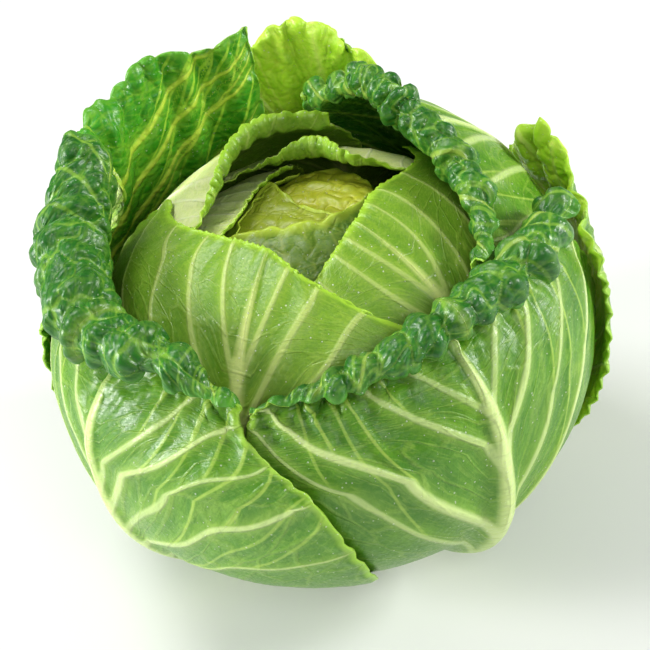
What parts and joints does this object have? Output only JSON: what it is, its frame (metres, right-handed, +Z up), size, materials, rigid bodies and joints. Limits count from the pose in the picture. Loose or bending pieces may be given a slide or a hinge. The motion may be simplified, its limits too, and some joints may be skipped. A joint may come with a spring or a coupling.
{
  "type": "cabbage head",
  "caption": "Round head of cabbage cut from its stalk, with loose outer leaves whose crinkled margins roll outwards round an open crown.",
  "frame": {"origin": "centre of the stalk's cut face, which is the lowest point", "axes": "+Z up along the head's axis from the cut to the crown, -Y towards the front, +X to the right as seen from the front"},
  "size_m": [0.1959, 0.1916, 0.1625],
  "materials": {
    "stem": "moist cut stalk, pale cream green",
    "heart_leaf": "waxy, crumpled, yellow green",
    "head_leaf": "waxy, smooth between pale veins, fresh green",
    "wrapper_leaf": "waxy, pale outside with raised veins, dark and crinkled at the margin"
  },
  "bodies": {
    "root": {"stem": "stem", "heart": "heart_leaf", "head_leaf_front": "head_leaf", "head_leaf_right": "head_leaf", "head_leaf_left": "head_leaf", "head_leaf_back": "head_leaf", "head_leaf_crown": "head_leaf", "wrapper_leaf_right": "wrapper_leaf", "wrapper_leaf_left": "wrapper_leaf", "wrapper_leaf_back": "wrapper_leaf", "wrapper_leaf_front_left": "wrapper_leaf", "wrapper_leaf_front_right": "wrapper_leaf", "wrapper_leaf_back_left": "wrapper_leaf", "wrapper_leaf_back_right": "wrapper_leaf"}
  },
  "joints": []
}
